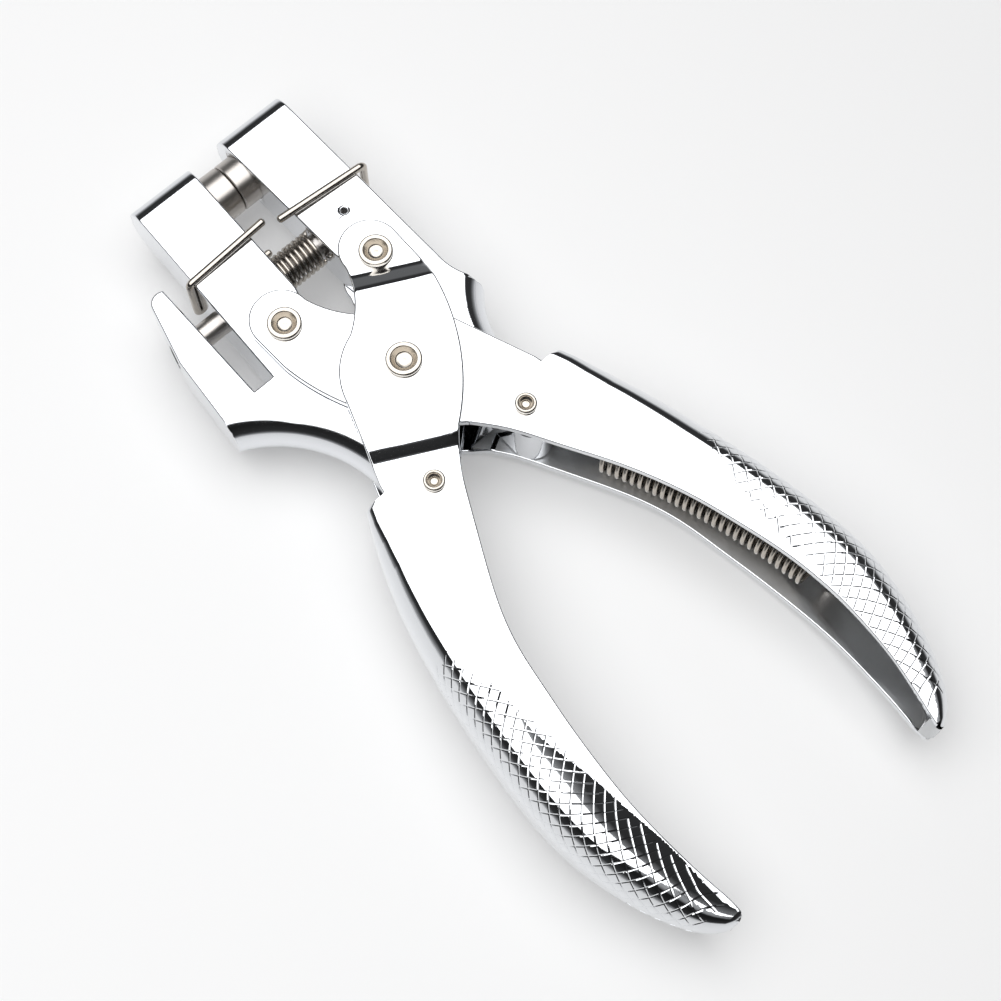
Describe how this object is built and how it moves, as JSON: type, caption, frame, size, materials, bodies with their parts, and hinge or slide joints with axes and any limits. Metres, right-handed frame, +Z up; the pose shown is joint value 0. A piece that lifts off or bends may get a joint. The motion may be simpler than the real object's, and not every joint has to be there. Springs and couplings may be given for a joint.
{
  "type": "single-hole punch pliers",
  "caption": "Parallel-jaw hand punch: two chromed lever handles with knurled grips drive two straight jaws, a round punch with a stripper sleeve and a die.",
  "frame": {"origin": "on the main pivot's axis, at the underside of the pivot rivet's lower head, the plane the tool lies on", "axes": "+X along the tool towards the ends of the grips, +Y to the side of the upper jaw, +Z up out of the flat of the tool"},
  "size_m": [0.18, 0.0796, 0.0214],
  "materials": {
    "chrome_plate": "bright chrome plate on pressed steel",
    "chrome_casting": "bright chrome plate on solid jaws",
    "nickel_rivet": "nickel plate, slightly warm, satin",
    "tool_steel": "ground tool steel with turned rings",
    "spring_steel": "bright spring wire"
  },
  "bodies": {
    "lower_handle": {"lower_handle": "chrome_plate", "pivot_rivet": "nickel_rivet", "pivot_spacer": "tool_steel", "upper_jaw_rivet": "nickel_rivet", "lower_slide_pin": "nickel_rivet"},
    "upper_handle": {"upper_handle": "chrome_plate", "lower_jaw_rivet": "nickel_rivet", "upper_slide_pin": "nickel_rivet", "spring_anchor_pin": "tool_steel", "handle_spring": "spring_steel"},
    "upper_jaw": {"upper_jaw": "chrome_casting", "punch_pin": "tool_steel", "guide_rod": "tool_steel", "rod_cross_pin": "tool_steel", "upper_gauge_wire": "spring_steel", "jaw_spring": "spring_steel", "stripper_spring": "spring_steel"},
    "lower_jaw": {"lower_jaw": "chrome_casting", "die_bush": "tool_steel", "lower_gauge_wire": "spring_steel"},
    "punch_sleeve": {"punch_sleeve": "tool_steel"}
  },
  "joints": [
    {"name": "handle_pivot", "type": "hinge", "parent": "lower_handle", "child": "upper_handle", "pos_m": [0, 0, 0.0107], "axis": [0, 0, -1], "range_deg": [0, 10], "stiffness_Nm_per_rad": 1.1, "springref_deg": -6.88, "deforming": ["handle_spring", "jaw_spring", "stripper_spring"]},
    {"name": "upper_jaw_pivot", "type": "hinge", "parent": "lower_handle", "child": "upper_jaw", "pos_m": [-0.0215, 0.0115, 0.0107], "axis": [0, 0, -1], "range_deg": [0, 5]},
    {"name": "lower_jaw_pivot", "type": "hinge", "parent": "upper_handle", "child": "lower_jaw", "pos_m": [-0.0215, -0.0115, 0.0107], "axis": [0, 0, 1], "range_deg": [0, 5]},
    {"name": "sleeve_slide", "type": "slide", "parent": "upper_jaw", "child": "punch_sleeve", "axis": [0, 1, 0], "range_m": [0, 0.00361]}
  ],
  "couplings": [
    {"joint": "upper_jaw_pivot", "follows": "handle_pivot", "ratio": 0.5},
    {"joint": "lower_jaw_pivot", "follows": "handle_pivot", "ratio": 0.5},
    {"joint": "sleeve_slide", "follows": "handle_pivot", "m_per_rad": 0.0207}
  ]
}
